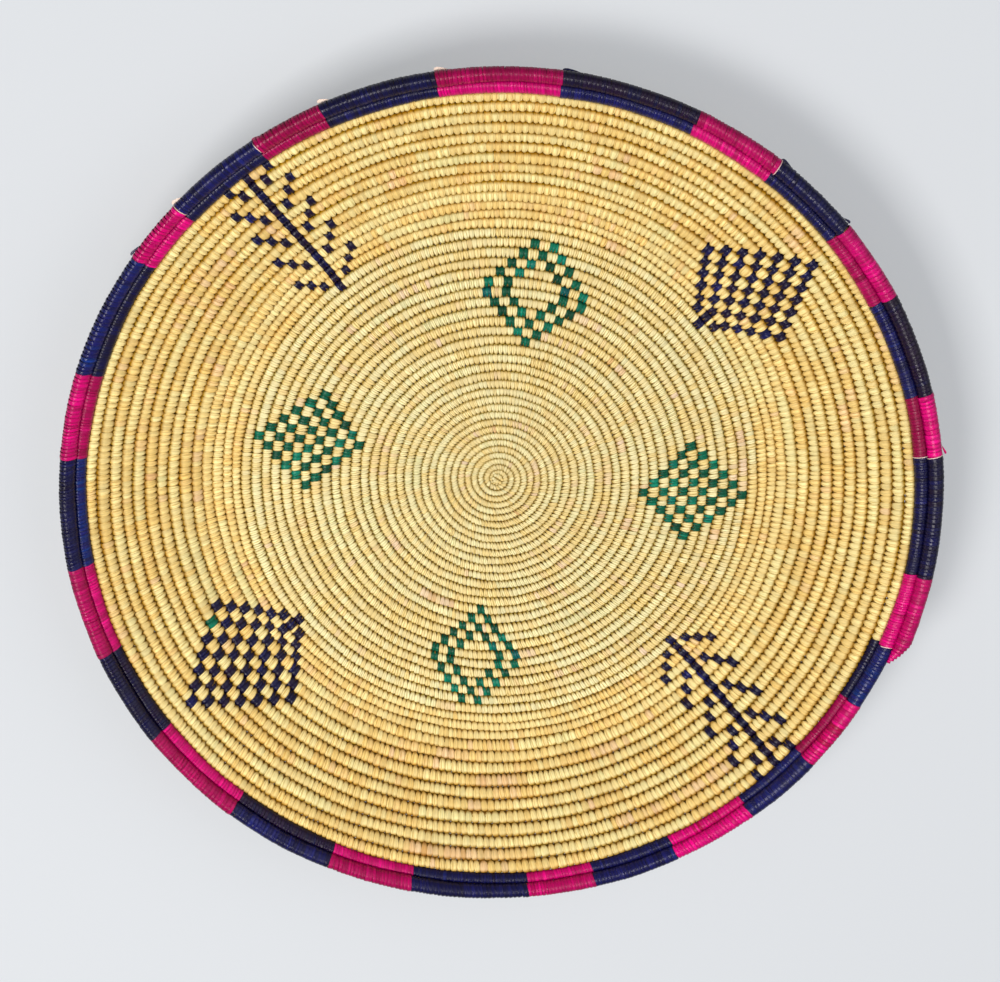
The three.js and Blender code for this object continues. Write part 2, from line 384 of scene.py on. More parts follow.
square_place = add_node(wrap_tree, "ShaderNodeSeparateXYZ", None, {
    0: vector_maths(wrap_tree, "MULTIPLY", squared, side),
})

# %% The wrap tree: sink its edges and draw its ends in
EDGE_POWER = 2.5  # the higher, the flatter the wrap's middle and the steeper its edges
HALF_WIDTH = 0.52  # of a wrap's width, a little over half, so that neighbours overlap
edge_share = maths(wrap_tree, "POWER", maths(wrap_tree, "ABSOLUTE", square_place.outputs["X"]), EDGE_POWER)
sunk = maths(wrap_tree, "MULTIPLY", edge_share, given["Crown"])
barrel = maths(wrap_tree, "SUBTRACT", 1, sunk)
inner_share = add_node(wrap_tree, "ShaderNodeMapRange", {"interpolation_type": "SMOOTHSTEP"}, {
    "Value": cosine, "From Min": -0.3, "From Max": -0.85, "To Min": 0, "To Max": 1,
}).outputs[0]
outer_share = add_node(wrap_tree, "ShaderNodeMapRange", {"interpolation_type": "SMOOTHSTEP"}, {
    "Value": cosine, "From Min": 0.4, "From Max": 1, "To Min": 0, "To Max": 1,
}).outputs[0]
inner_width = add_node(wrap_tree, "ShaderNodeMapRange", None, {
    "Value": inner_share, "To Min": 1, "To Max": given["Inner End"],
})
outer_width = add_node(wrap_tree, "ShaderNodeMapRange", None, {
    "Value": outer_share, "To Min": 1, "To Max": given["Outer End"],
})
drawn_in = maths(wrap_tree, "MULTIPLY", inner_width.outputs[0], outer_width.outputs[0])
reaching = maths(wrap_tree, "MULTIPLY_ADD", inner_share, given["Reach"], barrel)
half_width = maths(wrap_tree, "MULTIPLY", drawn_in, HALF_WIDTH)
band_place = add_node(wrap_tree, "ShaderNodeCombineXYZ", None, {
    "X": maths(wrap_tree, "MULTIPLY", square_place.outputs["X"], half_width),
    "Y": maths(wrap_tree, "MULTIPLY", square_place.outputs["Y"], reaching),
    "Z": maths(wrap_tree, "MULTIPLY", square_place.outputs["Z"], barrel),
})
rolled = add_node(wrap_tree, "GeometryNodeSetPosition", None, {
    "Geometry": mapped.outputs[0], "Position": band_place.outputs[0],
})
joined = add_node(wrap_tree, "GeometryNodeMergeByDistance", None, {
    "Geometry": rolled.outputs[0], "Distance": 1e-4,
})
smooth = add_node(wrap_tree, "GeometryNodeSetShadeSmooth", None, {0: joined.outputs[0], "Shade Smooth": True})

# %% The wrap tree: set a wrap on each place of the coil
NAMED = "GeometryNodeInputNamedAttribute"
along, up, wrap_size, strip = (
    add_node(wrap_tree, NAMED, {"data_type": "FLOAT_VECTOR"}, {"Name": name}).outputs[0]
    for name in ("along", "up", "size", "strip")
)
lean, cell = (
    add_node(wrap_tree, NAMED, {"data_type": "FLOAT"}, {"Name": name}).outputs[0]
    for name in ("lean", "cell")
)
seat = add_node(wrap_tree, "FunctionNodeAxesToRotation", {"primary_axis": "Z", "secondary_axis": "X"}, {
    "Primary Axis": up, "Secondary Axis": along,
})
least_lean = maths(wrap_tree, "SUBTRACT", lean, given["Lean Spread"])
most_lean = maths(wrap_tree, "ADD", lean, given["Lean Spread"])
random_lean = add_node(wrap_tree, "FunctionNodeRandomValue", {"data_type": "FLOAT"}, {
    2: least_lean, 3: most_lean, "Seed": given["Seed"],
})
leaning = add_node(wrap_tree, "FunctionNodeAxisAngleToRotation", None, {
    "Axis": (0, 0, 1), "Angle": random_lean.outputs[1],
})
turned = add_node(wrap_tree, "FunctionNodeRotateRotation", {"rotation_space": "LOCAL"}, {
    0: seat.outputs[0], 1: leaning.outputs[0],
})
random_tilt = add_node(wrap_tree, "FunctionNodeRandomValue", {"data_type": "FLOAT"}, {
    2: 0, 3: given["Tilt"], "Seed": given["Seed"],
})
tilting = add_node(wrap_tree, "FunctionNodeAxisAngleToRotation", None, {
    "Axis": (0, 1, 0), "Angle": random_tilt.outputs[1],
})
tilted = add_node(wrap_tree, "FunctionNodeRotateRotation", {"rotation_space": "LOCAL"}, {
    0: turned.outputs[0], 1: tilting.outputs[0],
})
placed = add_node(wrap_tree, "GeometryNodeInstanceOnPoints", None, {
    "Points": given["Wrap Places"], "Instance": smooth.outputs[0],
    "Rotation": tilted.outputs[0], "Scale": wrap_size,
})
realised = add_node(wrap_tree, "GeometryNodeRealizeInstances", None, {0: placed.outputs[0]})

# %% The wrap tree: give each wrap its own square of the leaf's flat map
SQUARE_FILLED, SQUARE_MARGIN = 0.92, 0.04
column = maths(wrap_tree, "FLOORED_MODULO", cell, given["Cells a Side"])
line = maths(wrap_tree, "FLOOR", maths(wrap_tree, "DIVIDE", cell, given["Cells a Side"]))
corner = add_node(wrap_tree, "ShaderNodeCombineXYZ", None, {"X": column, "Y": line}).outputs[0]
inside = vector_maths(wrap_tree, "MULTIPLY_ADD", strip, (SQUARE_FILLED, SQUARE_FILLED, 0), corner)
in_margin = vector_maths(wrap_tree, "ADD", inside, (SQUARE_MARGIN, SQUARE_MARGIN, 0))
cell_size = maths(wrap_tree, "DIVIDE", 1, given["Cells a Side"])
flat_place = add_node(wrap_tree, "ShaderNodeVectorMath", {"operation": "SCALE"}, {
    0: in_margin, "Scale": cell_size,
})
flat_settings = {"data_type": "FLOAT2", "domain": "CORNER"}
flat_mapped = add_node(wrap_tree, "GeometryNodeStoreNamedAttribute", flat_settings, {
    "Geometry": realised.outputs[0], "Name": "OFBake", "Value": flat_place.outputs[0],
})
dressed = add_node(wrap_tree, "GeometryNodeSetMaterial", None, {
    0: flat_mapped.outputs[0], "Material": given["Leaf"],
})
add_node(wrap_tree, "NodeGroupOutput", None, {0: dressed.outputs[0]})
print(len(wrap_tree.nodes), "nodes in the wrap tree")

# %% [markdown]
# ## From a list of wraps to a piece
# The wraps of one piece become a cloud of points with attributes. The tree runs once, its result is copied
# into a plain mesh, and the modifier goes. Wraps lean about 28 degrees at the knot, 12 at the twelfth turn
# and 6 on the wall, as a hand pulls each strip a little onwards.

# %% Make a piece of wraps
CLOSENESS = 1.05  # a wrap is this much wider than its row, so that the rows press on each other


def cloud_of(name, chosen):
    """A cloud of points, one for each wrap, with the wrap's directions and size in metres."""
    places = []
    for wrap in chosen:
        middle, along, _, up, row_width, thickness = coil_frame(wrap.turn)
        half_row, half_thickness = row_width * CLOSENESS * MM / 2, thickness * MM / 2
        size = (wrap.width * MM, half_row * wrap.girth, half_thickness * wrap.girth)
        places.append((middle * MM, along, up, size, wrap.lean, wrap.hue, wrap.shade))
    return cloud(name, places)


def cloud(name, places):
    mesh = bpy.data.meshes.new(name + "_places")
    mesh.vertices.add(len(places))
    labels = ("position", "along", "up", "size", "lean", "hue", "shade")
    for label, values in [*zip(labels, zip(*places)), ("cell", range(len(places)))]:
        vector = label in labels[:4]
        layer = mesh.attributes.get(label)
        layer = layer or mesh.attributes.new(label, "FLOAT_VECTOR" if vector else "FLOAT", "POINT")
        layer.data.foreach_set("vector" if vector else "value", np.array(values, np.float32).ravel())
    return mesh


def wrap_piece(name, places, leaf, crown, inner_end, outer_end, reach, flatness=0.6, tilt=4):
    """A plain mesh of the wraps that stand at the places of this cloud."""
    piece = bpy.data.objects.new(name, places)
    bpy.context.scene.collection.objects.link(piece)
    modifier = piece.modifiers.new("wraps", "NODES")
    modifier.node_group = wrap_tree
    settings = {
        "Leaf": leaf, "Crown": crown, "Inner End": inner_end, "Outer End": outer_end, "Reach": reach,
        "Squareness": 0.88, "Flatness": flatness, "Lean Spread": math.radians(2.5),
        "Tilt": math.radians(tilt), "Seed": 5,
        "Cells a Side": float(math.ceil(math.sqrt(len(places.vertices)))),
    }
    for label, value in settings.items():
        modifier[wrap_inputs[label]] = value
    made = bpy.data.meshes.new_from_object(piece.evaluated_get(bpy.context.evaluated_depsgraph_get()))
    piece.modifiers.remove(modifier)
    piece.data = made
    made.name = name
    triangles = sum(len(face.vertices) - 2 for face in made.polygons)
    print(name, len(places.vertices), "wraps,", triangles, "triangles")
    return piece


# %% [markdown]
# ## Colours
# Colours are written as sRGB hex, as a picture program shows them, and Blender's nodes want linear numbers.

# %% A hex colour, made linear


def linear(colour):
    parts = [int(colour[i:i + 2], 16) / 255 for i in (1, 3, 5)]
    return (*(p / 12.92 if p <= 0.04045 else ((p + 0.055) / 1.055) ** 2.4 for p in parts), 1)


# %% [markdown]
# ## Dried palm leaf
# The wraps look like split palm leaf, dried in the sun. It is satin, with straight fibres along the strip,
# and its cream runs to green in some strips and to pink or ochre in others. Fibres are some 0.3 to 0.4 mm
# apart, so about seven fit the strip. Towards its two ends, down the sides of its row and into the grooves
# between rows, a wrap is painted darker and more olive, as painted shade. A strip is folded as it is pulled
# tight, which leaves two or three fine lines along it, 0.8 mm apart on the outer base and 1.3 mm on the wall.
# The fold lines are painted darker, as shade in the folds, and the strip's edges as shade and dirt in the
# slits between wraps.

# %% Material: dried palm leaf
FIBRE_WAVES = (7, 2.5, 0)  # of the noise, across and along a strip
STRIPS_APART = (53, 0, 71)  # hue and shade move each strip's noise this far


def leaf_material(name, hues, shadow, roughness, streak_depth, folds, edge_shade_and_dirt, end_shade, gloss):
    """Hues over the strips, folds and streaks; painted shade at ends and folds, painted shade and dirt at
    edges.
    """
    material = bpy.data.materials.new(name)
    material.use_nodes = True
    tree = material.node_tree
    shader = tree.nodes["Principled BSDF"]
    hue = add_node(tree, "ShaderNodeAttribute", {"attribute_name": "hue"}).outputs["Fac"]
    shade = add_node(tree, "ShaderNodeAttribute", {"attribute_name": "shade"}).outputs["Fac"]
    ramp = add_node(tree, "ShaderNodeValToRGB", None, {0: hue})
    stops = ramp.color_ramp.elements
    stops.remove(stops[1])
    stops[0].color = linear(hues[0][1])
    for place, colour in hues[1:]:
        stops.new(place).color = linear(colour)
    strip = add_node(tree, "ShaderNodeUVMap", {"uv_map": "strip"}).outputs[0]
    offset = add_node(tree, "ShaderNodeCombineXYZ", None, {"X": hue, "Z": shade}).outputs[0]
    stretched = vector_maths(tree, "MULTIPLY", strip, FIBRE_WAVES)
    moved = vector_maths(tree, "MULTIPLY_ADD", offset, STRIPS_APART, stretched)
    fibres = add_node(tree, "ShaderNodeTexNoise", None, {
        "Vector": moved, "Scale": 1, "Detail": 3, "Roughness": 0.6,
    }).outputs[0]
    streaks = add_node(tree, "ShaderNodeMapRange", None, {
        "Value": fibres, "From Min": 0.3, "From Max": 0.7,
        "To Min": 1 - streak_depth, "To Max": 1 + streak_depth,
    })
    brightness = add_node(tree, "ShaderNodeMapRange", None, {"Value": shade, "To Min": 0.86, "To Max": 1.15})
    tone = maths(tree, "MULTIPLY", streaks.outputs[0], brightness.outputs[0])
    toned = add_node(tree, "ShaderNodeVectorMath", {"operation": "SCALE"}, {
        0: ramp.outputs[0], "Scale": tone,
    })
    split = add_node(tree, "ShaderNodeSeparateXYZ", None, {0: strip})
    # painted shade: the wrap is darker towards both ends, down the sides of its row and into the grooves
    from_crown = maths(tree, "PINGPONG", maths(tree, "PINGPONG", split.outputs["Y"], 0.5), 0.25)
    ends = add_node(tree, "ShaderNodeMapRange", {"interpolation_type": "SMOOTHSTEP"}, {
        "Value": from_crown, "From Min": 0.2, "From Max": 0.05, "To Min": 0, "To Max": end_shade,
    })
    # painted shade and dirt along both edges of the strip, in the slits between wraps
    edges = add_node(tree, "ShaderNodeMapRange", {"interpolation_type": "SMOOTHSTEP"}, {
        "Value": maths(tree, "PINGPONG", split.outputs["X"], 0.5),
        "From Min": 0.13, "From Max": 0.0, "To Min": 0, "To Max": edge_shade_and_dirt,
    })
    # painted shade in the fold lines along the strip
    bent = maths(tree, "MULTIPLY_ADD", fibres, 0.5, split.outputs["X"])
    from_fold = maths(tree, "PINGPONG", maths(tree, "MULTIPLY", bent, folds), 0.5)
    fold_strength = add_node(tree, "ShaderNodeMapRange", None, {
        "Value": shade, "From Min": 0.3, "From Max": 0.7, "To Min": 0.15, "To Max": edge_shade_and_dirt,
    })
    fold_lines = add_node(tree, "ShaderNodeMapRange", {"interpolation_type": "SMOOTHSTEP"}, {
        "Value": from_fold, "From Min": 0.24, "From Max": 0.0,
        "To Min": 0, "To Max": fold_strength.outputs[0],
    })
    lines = maths(tree, "MAXIMUM", edges.outputs[0], fold_lines.outputs[0])
    dark = maths(tree, "MAXIMUM", ends.outputs[0], lines)
    coloured = add_node(tree, "ShaderNodeMix", {"data_type": "RGBA", "blend_type": "MULTIPLY"}, {
        0: dark, 6: toned.outputs[0], 7: linear(shadow),
    })
    bump = add_node(tree, "ShaderNodeBump", None, {
        "Strength": 0.8, "Distance": 0.0002, "Height": maths(tree, "SUBTRACT", fibres, lines),
    })
    worn = add_node(tree, "ShaderNodeMapRange", None, {
        "Value": shade, "To Min": roughness + 0.1, "To Max": roughness - 0.06,
    })
    tree.links.new(coloured.outputs[2], shader.inputs["Base Color"])
    tree.links.new(bump.outputs[0], shader.inputs["Normal"])
    tree.links.new(worn.outputs[0], shader.inputs["Roughness"])
    shader.inputs["Specular IOR Level"].default_value = gloss
    return material


# the numbers are roughness, depth of the streaks, folds, painted shade and dirt at the edges, painted shade
# at the ends, and gloss
palm_leaf = leaf_material("dried_palm_leaf", [
    (0.0, "#e1dca8"), (0.3, "#eee4b3"), (0.5, "#eedca4"), (0.7, "#e9d08d"),
    (0.88, "#ebd1b4"), (1.0, "#deb67c"),
], "#ae9810", 0.5, 0.22, 2.6, 0.65, 1, 0.2)
wall_leaf = leaf_material("sun_dried_palm_leaf", [
    (0.0, "#e3d99c"), (0.3, "#eedea0"), (0.5, "#edd592"), (0.7, "#e7c67a"),
    (0.88, "#eac99c"), (1.0, "#daaa69"),
], "#b2920c", 0.5, 0.22, 2.2, 0.6, 1, 0.2)
print("made", palm_leaf.name, "and", wall_leaf.name)

# %% [markdown]
# ## Dyed palm leaf
# The dyed strips shine a little more than the natural ones. Their shades differ from strip to strip: navy
# runs from ink to violet and blue, green from bottle green to teal, and magenta to crimson.

# %% Materials: leaf dyed green, navy and magenta
green_leaf = leaf_material("green_dyed_palm_leaf", [
    (0.0, "#03402c"), (0.5, "#015c44"), (0.8, "#028068"), (1.0, "#04585a"),
], "#80908a", 0.28, 0.45, 2, 0.5, 0.8, 0.2)
navy_leaf = leaf_material("navy_dyed_palm_leaf", [
    (0.0, "#1c0c2c"), (0.2, "#100c30"), (0.4, "#0e0e40"), (0.65, "#17185c"),
    (0.85, "#0e2468"), (1.0, "#0a3078"),
], "#8c8c9a", 0.25, 0.5, 2, 0.6, 0.5, 0.25)
magenta_leaf = leaf_material("magenta_dyed_palm_leaf", [
    (0.0, "#8a0040"), (0.4, "#b4005e"), (0.7, "#da007c"), (1.0, "#9c003c"),
], "#a07088", 0.27, 0.4, 2, 0.6, 0.3, 0.2)
pale_leaf = leaf_material("undyed_inside_of_leaf", [
    (0.0, "#f2ccd0"), (0.3, "#f3dcd0"), (1.0, "#efe0c8"),
], "#c8a8a0", 0.45, 0.12, 1, 0.2, 0.4, 0.2)
print("made", green_leaf.name, navy_leaf.name, magenta_leaf.name)

# %% [markdown]
# ## The grass bundle
# Inside the wraps runs a bundle, taken to be coarse grass and seen only through the small holes between the
# rows. It is one tube along the whole coil, made ring by ring because its section leans with the wall. It is
# a little smaller than the wraps, with a rib that reaches into the row inside it, so that neighbouring rows
# close the tray against light. A short plug is its end, folded into the knot.

# %% Material: coarse grass
grass = bpy.data.materials.new("coarse_dry_grass")
grass.use_nodes = True
grass_tree = grass.node_tree
grass_place = add_node(grass_tree, "ShaderNodeTexCoord")
blades = add_node(grass_tree, "ShaderNodeTexNoise", None, {
    "Vector": grass_place.outputs["Object"], "Scale": 900, "Detail": 2,
})
grass_ramp = add_node(grass_tree, "ShaderNodeValToRGB", None, {0: blades.outputs[0]})
for stop, place, colour in zip(grass_ramp.color_ramp.elements, (0.35, 0.65), ("#6e5010", "#a47c24")):
    stop.position = place
    stop.color = linear(colour)
grass_shader = grass_tree.nodes["Principled BSDF"]
grass_tree.links.new(grass_ramp.outputs[0], grass_shader.inputs["Base Color"])
grass_shader.inputs["Roughness"].default_value = 0.8

# %% The bundle
BUNDLE_SIDES, RINGS_PER_TURN = 8, 48
BUNDLE_WIDTH, BUNDLE_REACH, BUNDLE_THICKNESS = 0.86, 0.2, 0.72  # shares of the wrap's
PLUG_SIDES, PLUG_HEIGHT, PLUG_MIDDLE = 12, 1.6, 1.1


def bundle_ring(turn):
    middle, _, across, up, width, thickness = coil_frame(turn)
    ring = []
    for side in range(BUNDLE_SIDES):
        angle = side * math.tau / BUNDLE_SIDES
        out = (math.cos(angle) * BUNDLE_WIDTH - BUNDLE_REACH * (side == BUNDLE_SIDES // 2)) * width / 2
        rise = math.sin(angle) * thickness * BUNDLE_THICKNESS / 2
        ring.append((middle + across * out + up * rise) * MM)
    return ring


first_ring, past_last_ring = int(COIL_START * RINGS_PER_TURN), int(TAIL_END * RINGS_PER_TURN)
ring_turns = [ring / RINGS_PER_TURN for ring in range(first_ring, past_last_ring)] + [TAIL_END]
bundle_points = [point for turn in ring_turns for point in bundle_ring(turn)]
bundle_faces = [tuple(range(BUNDLE_SIDES))]
for first in range(0, len(bundle_points) - BUNDLE_SIDES, BUNDLE_SIDES):
    for side in range(BUNDLE_SIDES):
        near, far = first + side, first + (side + 1) % BUNDLE_SIDES
        bundle_faces.append((near, near + BUNDLE_SIDES, far + BUNDLE_SIDES, far))
bundle_faces.append(tuple(reversed(range(len(bundle_points) - BUNDLE_SIDES, len(bundle_points)))))
bundle_mesh = bpy.data.meshes.new("grass_bundle")
bundle_mesh.from_pydata(bundle_points, [], bundle_faces)
folded_end = bmesh.new()
folded_end.from_mesh(bundle_mesh)
bmesh.ops.create_cone(
    folded_end, cap_ends=True, segments=PLUG_SIDES, radius1=KNOT_RADIUS * MM, radius2=KNOT_RADIUS * MM,
    depth=PLUG_HEIGHT * MM, matrix=Matrix.Translation((0, 0, PLUG_MIDDLE * MM)))
folded_end.to_mesh(bundle_mesh)
bundle_mesh.polygons.foreach_set("use_smooth", [True] * len(bundle_mesh.polygons))
bundle_mesh.materials.append(grass)
bundle = bpy.data.objects.new("grass_bundle", bundle_mesh)
bpy.context.scene.collection.objects.link(bundle)
print("bundle:", len(bundle_mesh.polygons), "faces")

# %% [markdown]
# ## The pieces of the tray
# A piece stays under 200,000 triangles, so the natural wraps are made in six lengths of coil. The motifs and
# the two colours of the rim are pieces of their own, because they are other strips.

# %% Natural wraps, from the knot to the last natural row
pieces = {}
NATURAL_LENGTHS = [  # from turn, to turn, leaf, then crown, inner end, outer end and reach
    ("first_wraps", COIL_START, 4, palm_leaf, 0.12, 0.45, 1.2, 0.45),
    ("centre_wraps", 4, 14, palm_leaf, 0.12, 0.45, 0.9, 0.4),
    ("base_wraps_inner", 14, 22, palm_leaf, 0.13, 0.5, 0.85, 0.3),
    ("base_wraps_outer", 22, 29, palm_leaf, 0.13, 0.5, 0.85, 0.26),
    ("wall_wraps_lower", 29, 36.5, wall_leaf, 0.15, 0.5, 0.88, 0.24),
    ("wall_wraps_upper", 36.5, NATURAL_END, wall_leaf, 0.17, 0.5, 0.88, 0.24),
]
for name, start, end, leaf, *shape in NATURAL_LENGTHS:
    chosen = [wrap for wrap in wraps if wrap.colour == "natural" and start <= wrap.turn < end]
    pieces[name] = wrap_piece(name, cloud_of(name, chosen), leaf, *shape)

# %% Dyed wraps of the motifs and the rim
DYED_TILT = 2  # degrees
DYED = [  # piece, stretch, leaf, then crown, inner end, outer end, reach and flatness
    ("green_motif_wraps", "green", green_leaf, 0.15, 0.6, 0.95, 0.2, 0.6),
    ("navy_motif_wraps", "navy", navy_leaf, 0.17, 0.6, 0.95, 0.2, 0.6),
    ("magenta_rim_wraps", "magenta rim", magenta_leaf, 0.05, 1, 0.95, 0.12, 0.4),
    ("navy_rim_wraps", "navy rim", navy_leaf, 0.05, 1, 0.95, 0.12, 0.4),
    ("pale_rim_wraps", "pale rim", pale_leaf, 0.05, 1, 0.95, 0.12, 0.6),
]
for name, colour, leaf, *shape in DYED:
    chosen = [wrap for wrap in wraps if wrap.colour == colour]
    pieces[name] = wrap_piece(name, cloud_of(name, chosen), leaf, *shape, DYED_TILT)

# %% [markdown]
# ## The knot
# The coil starts with the bundle's end folded back on itself: two very short rows side by side, four wraps on
# each, with a slit between them in the very middle of the tray. The same tree makes them, and the outermost
# wraps are the narrowest, so that the two rows together are the oval which the coil then goes round.

# %% The starting knot
SLIT_ANGLE = math.radians(-34)
KNOT_WRAPS = [(-1.9, 0.95), (-0.65, 1.4), (0.6, 1.3), (1.85, 0.9)]  # place along the slit, half a row's width
KNOT_WRAP_WIDTH, KNOT_HALF_HEIGHT, KNOT_LEAN, KNOT_FROM_SLIT = 1.3, 1.3, 0.15, 0.95
KNOT_HUE, KNOT_HUE_STEP, KNOT_SHADE = 0.5, 0.1, 0.5
knot_along = Vector((math.cos(SLIT_ANGLE), math.sin(SLIT_ANGLE), 0))
knot_across = Vector((-math.sin(SLIT_ANGLE), math.cos(SLIT_ANGLE), 0))
knot_up = Vector((0, 0, 1))
knot_places = []
for side in (-1, 1):
    for place, half_width in KNOT_WRAPS:
        beside = knot_across * side * half_width * KNOT_FROM_SLIT
        middle = (knot_along * place + beside + knot_up * KNOT_HALF_HEIGHT) * MM
        size = (KNOT_WRAP_WIDTH * MM, half_width * CLOSENESS * MM, KNOT_HALF_HEIGHT * MM)
        hue = KNOT_HUE + place * KNOT_HUE_STEP
        knot_places.append((middle, knot_along, knot_up, size, side * KNOT_LEAN, hue, KNOT_SHADE))
knot_cloud = cloud("knot_wraps", knot_places)
pieces["knot_wraps"] = wrap_piece("knot_wraps", knot_cloud, palm_leaf, 0.15, 0.85, 0.85, 0)

# %% [markdown]
# ## Strip ends on the rim
# Where a dyed block starts, the end of a strip isn't always tucked in. It stands off the outer side of the
# rim as a stiff fin 3.5 to 8 mm long, highest close to the joint. It shows the dye or the leaf's pale inside.

# %% The standing strip ends
STRIP_ENDS = [  # colour, angle of the joint, degrees below the outer side, then length, height and gap in mm
    ("navy", 40, 42, -3.5, 1.2, 0.3), ("navy", 52, 45, 6, 1.3, 0), ("navy", 82, 48, 8, 1.2, 0),
    ("navy", 144, 42, 5.5, 1.2, 0.4), ("magenta", 6.5, 31, -4, 1.1, 1.0), ("magenta", 122.5, 45, 4.5, 0.9, 0),
    ("pale", 98, 46, 6, 1.5, 0.1), ("pale", 113, 44, 5, 1.5, 0.4), ("pale", 135.5, 42, 5, 1.4, 0.4),
]
STRIP_THICKNESS, FIN_BEFORE_JOINT, FIN_SUNK, FIN_CURL = 0.35, 0.5, 0.3, 1.5
FIN_PLACES = [0, 0.08, 0.25, 0.5, 0.75, 1]
FIN_HEIGHTS = [0.45, 0.85, 1, 0.8, 0.5, 0.1]


def strip_end(angle, below, length, height, gap):
    """Rings of four points along one strip end, from its free tip to where it lies on the block."""
    joint = COIL_END - (angle - COIL_ENDS_AT) / 360
    below = math.radians(below)
    rings = []
    for place, share in zip(FIN_PLACES, FIN_HEIGHTS):
        turn = joint + (place * length - FIN_BEFORE_JOINT) / (math.tau * coil_radius(joint))
        middle, _, across, up, width, _ = coil_frame(turn)
        out = across * math.cos(below) - up * math.sin(below)
        side = across * math.sin(below) + up * math.cos(below)
        foot = width * CLOSENESS / 2 + (gap * (1 - place) ** FIN_CURL if gap else -FIN_SUNK)
        top = foot + height * share
        ring = [
            (middle + out * rise + side * STRIP_THICKNESS * edge) * MM
            for rise, edge in ((foot, -0.5), (top, -0.5), (top, 0.5), (foot, 0.5))
        ]
        rings.append(ring if length > 0 else ring[::-1])
    return rings


for colour, leaf in (("navy", navy_leaf), ("magenta", magenta_leaf), ("pale", pale_leaf)):
    points, faces = [], []
    for _, *placing in (end for end in STRIP_ENDS if end[0] == colour):
        first = len(points)
        rings = strip_end(*placing)
        points += [point for ring in rings for point in ring]
        last = len(points) - 4
        faces += [(first, first + 1, first + 2, first + 3), (last + 3, last + 2, last + 1, last)]
        for near in range(first, last, 4):
            faces += [(near + i, near + 4 + i, near + 4 + (i + 1) % 4, near + (i + 1) % 4) for i in range(4)]
    name = colour + "_strip_ends"
    mesh = bpy.data.meshes.new(name)
    mesh.from_pydata(points, [], faces)
    for label, value in (("hue", 0.4), ("shade", 0.5)):
        mesh.attributes.new(label, "FLOAT", "POINT").data.foreach_set("value", [value] * len(points))
    # a fin takes its look from the middle of a strip, clear of the darker edges and ends
    numbers = [corner.vertex_index for corner in mesh.loops]
    flat = [(0.3 + 0.4 * (i % 4 in (1, 2)), 0.2 + 0.02 * (i // 4 % len(FIN_PLACES))) for i in numbers]
    mesh.uv_layers.new(name="strip").data.foreach_set("uv", np.array(flat, np.float32).ravel())
    mesh.materials.append(leaf)
    pieces[name] = bpy.data.objects.new(name, mesh)
    bpy.context.scene.collection.objects.link(pieces[name])
print(len(STRIP_ENDS), "strip ends stand off the rim")

# %% [markdown]
# ## Which solid each piece stands for
# Nothing moves, so every piece rides on the one body. The wraps and the bundle stand for the solids whose
# stretch of coil they cover, and each set of strip ends for one block.

# %% Ride and replace
rim_solids = [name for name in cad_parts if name.startswith("rim_")]
STANDS_FOR = {
    "knot_wraps": ["coil_start"], "first_wraps": ["base_coil"], "centre_wraps": ["base_coil"],
    "base_wraps_inner": ["base_coil"], "base_wraps_outer": ["base_coil"],
    "wall_wraps_lower": ["wall_coil"], "wall_wraps_upper": ["wall_coil"],
    "green_motif_wraps": ["base_coil"], "navy_motif_wraps": ["wall_coil"],
    "magenta_rim_wraps": [name for name in rim_solids if "magenta" in name],
    "navy_rim_wraps": [name for name in rim_solids if "navy" in name], "pale_rim_wraps": rim_solids,
    "grass_bundle": ["base_coil", "wall_coil"], "navy_strip_ends": ["rim_navy_01"],
    "magenta_strip_ends": ["rim_magenta_01"], "pale_strip_ends": ["rim_magenta_01"],
}
pieces["grass_bundle"] = bundle
for name, solids in STANDS_FOR.items():
    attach(pieces[name], "root")
    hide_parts(*solids)
print(len(pieces), "pieces stand for", len(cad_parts), "solids")

# %% [markdown]
# ## Table and light
# The light is an estimate from the shading in the photograph: one large soft light from the left, and even
# light from everywhere else. The table is a plain pale grey with a touch of blue. The camera, and nothing
# else, sees the table glow with a pale light of its own, painted light that grows further away, so that its
# shadow is as light as in the photograph and the table doesn't go dark where the lamps run out.

# %% The table
ROOM = "#dfe3e8"
table_paint = bpy.data.materials.new("pale_table_paint")
table_paint.use_nodes = True
tree = table_paint.node_tree
paint = tree.nodes["Principled BSDF"]
paint.inputs["Base Color"].default_value = linear("#ced3db")
paint.inputs["Roughness"].default_value = 0.9
place = add_node(tree, "ShaderNodeTexCoord")
away = add_node(tree, "ShaderNodeVectorMath", {"operation": "LENGTH"}, {0: place.outputs["Object"]})
far = add_node(tree, "ShaderNodeMapRange", {"interpolation_type": "SMOOTHSTEP"}, {
    "Value": away.outputs["Value"], "From Min": 0.3, "From Max": 1.3, "To Min": 0.45,
})
ray = add_node(tree, "ShaderNodeLightPath")
# painted light: for the camera the table glows in the room's colour, 45 per cent near the tray and fully far
# off
seen = maths(tree, "MULTIPLY", far.outputs[0], ray.outputs["Is Camera Ray"])
room = add_node(tree, "ShaderNodeEmission", None, {"Color": linear(ROOM)})
mixed = add_node(tree, "ShaderNodeMixShader", None, {0: seen, 1: paint.outputs[0], 2: room.outputs[0]})
tree.links.new(mixed.outputs[0], tree.nodes["Material Output"].inputs["Surface"])
TABLE_HALF, TABLE_TOP = 4.0, -0.0005  # metres; the table lies just below the lowest wrap
table_corners = [(x * TABLE_HALF, y * TABLE_HALF, TABLE_TOP) for x, y in ((-1, -1), (1, -1), (1, 1), (-1, 1))]
table_mesh = bpy.data.meshes.new("table")
table_mesh.from_pydata(table_corners, [], [(0, 1, 2, 3)])
table_mesh.materials.append(table_paint)
table = bpy.data.objects.new("table", table_mesh)
bpy.context.scene.collection.objects.link(table)

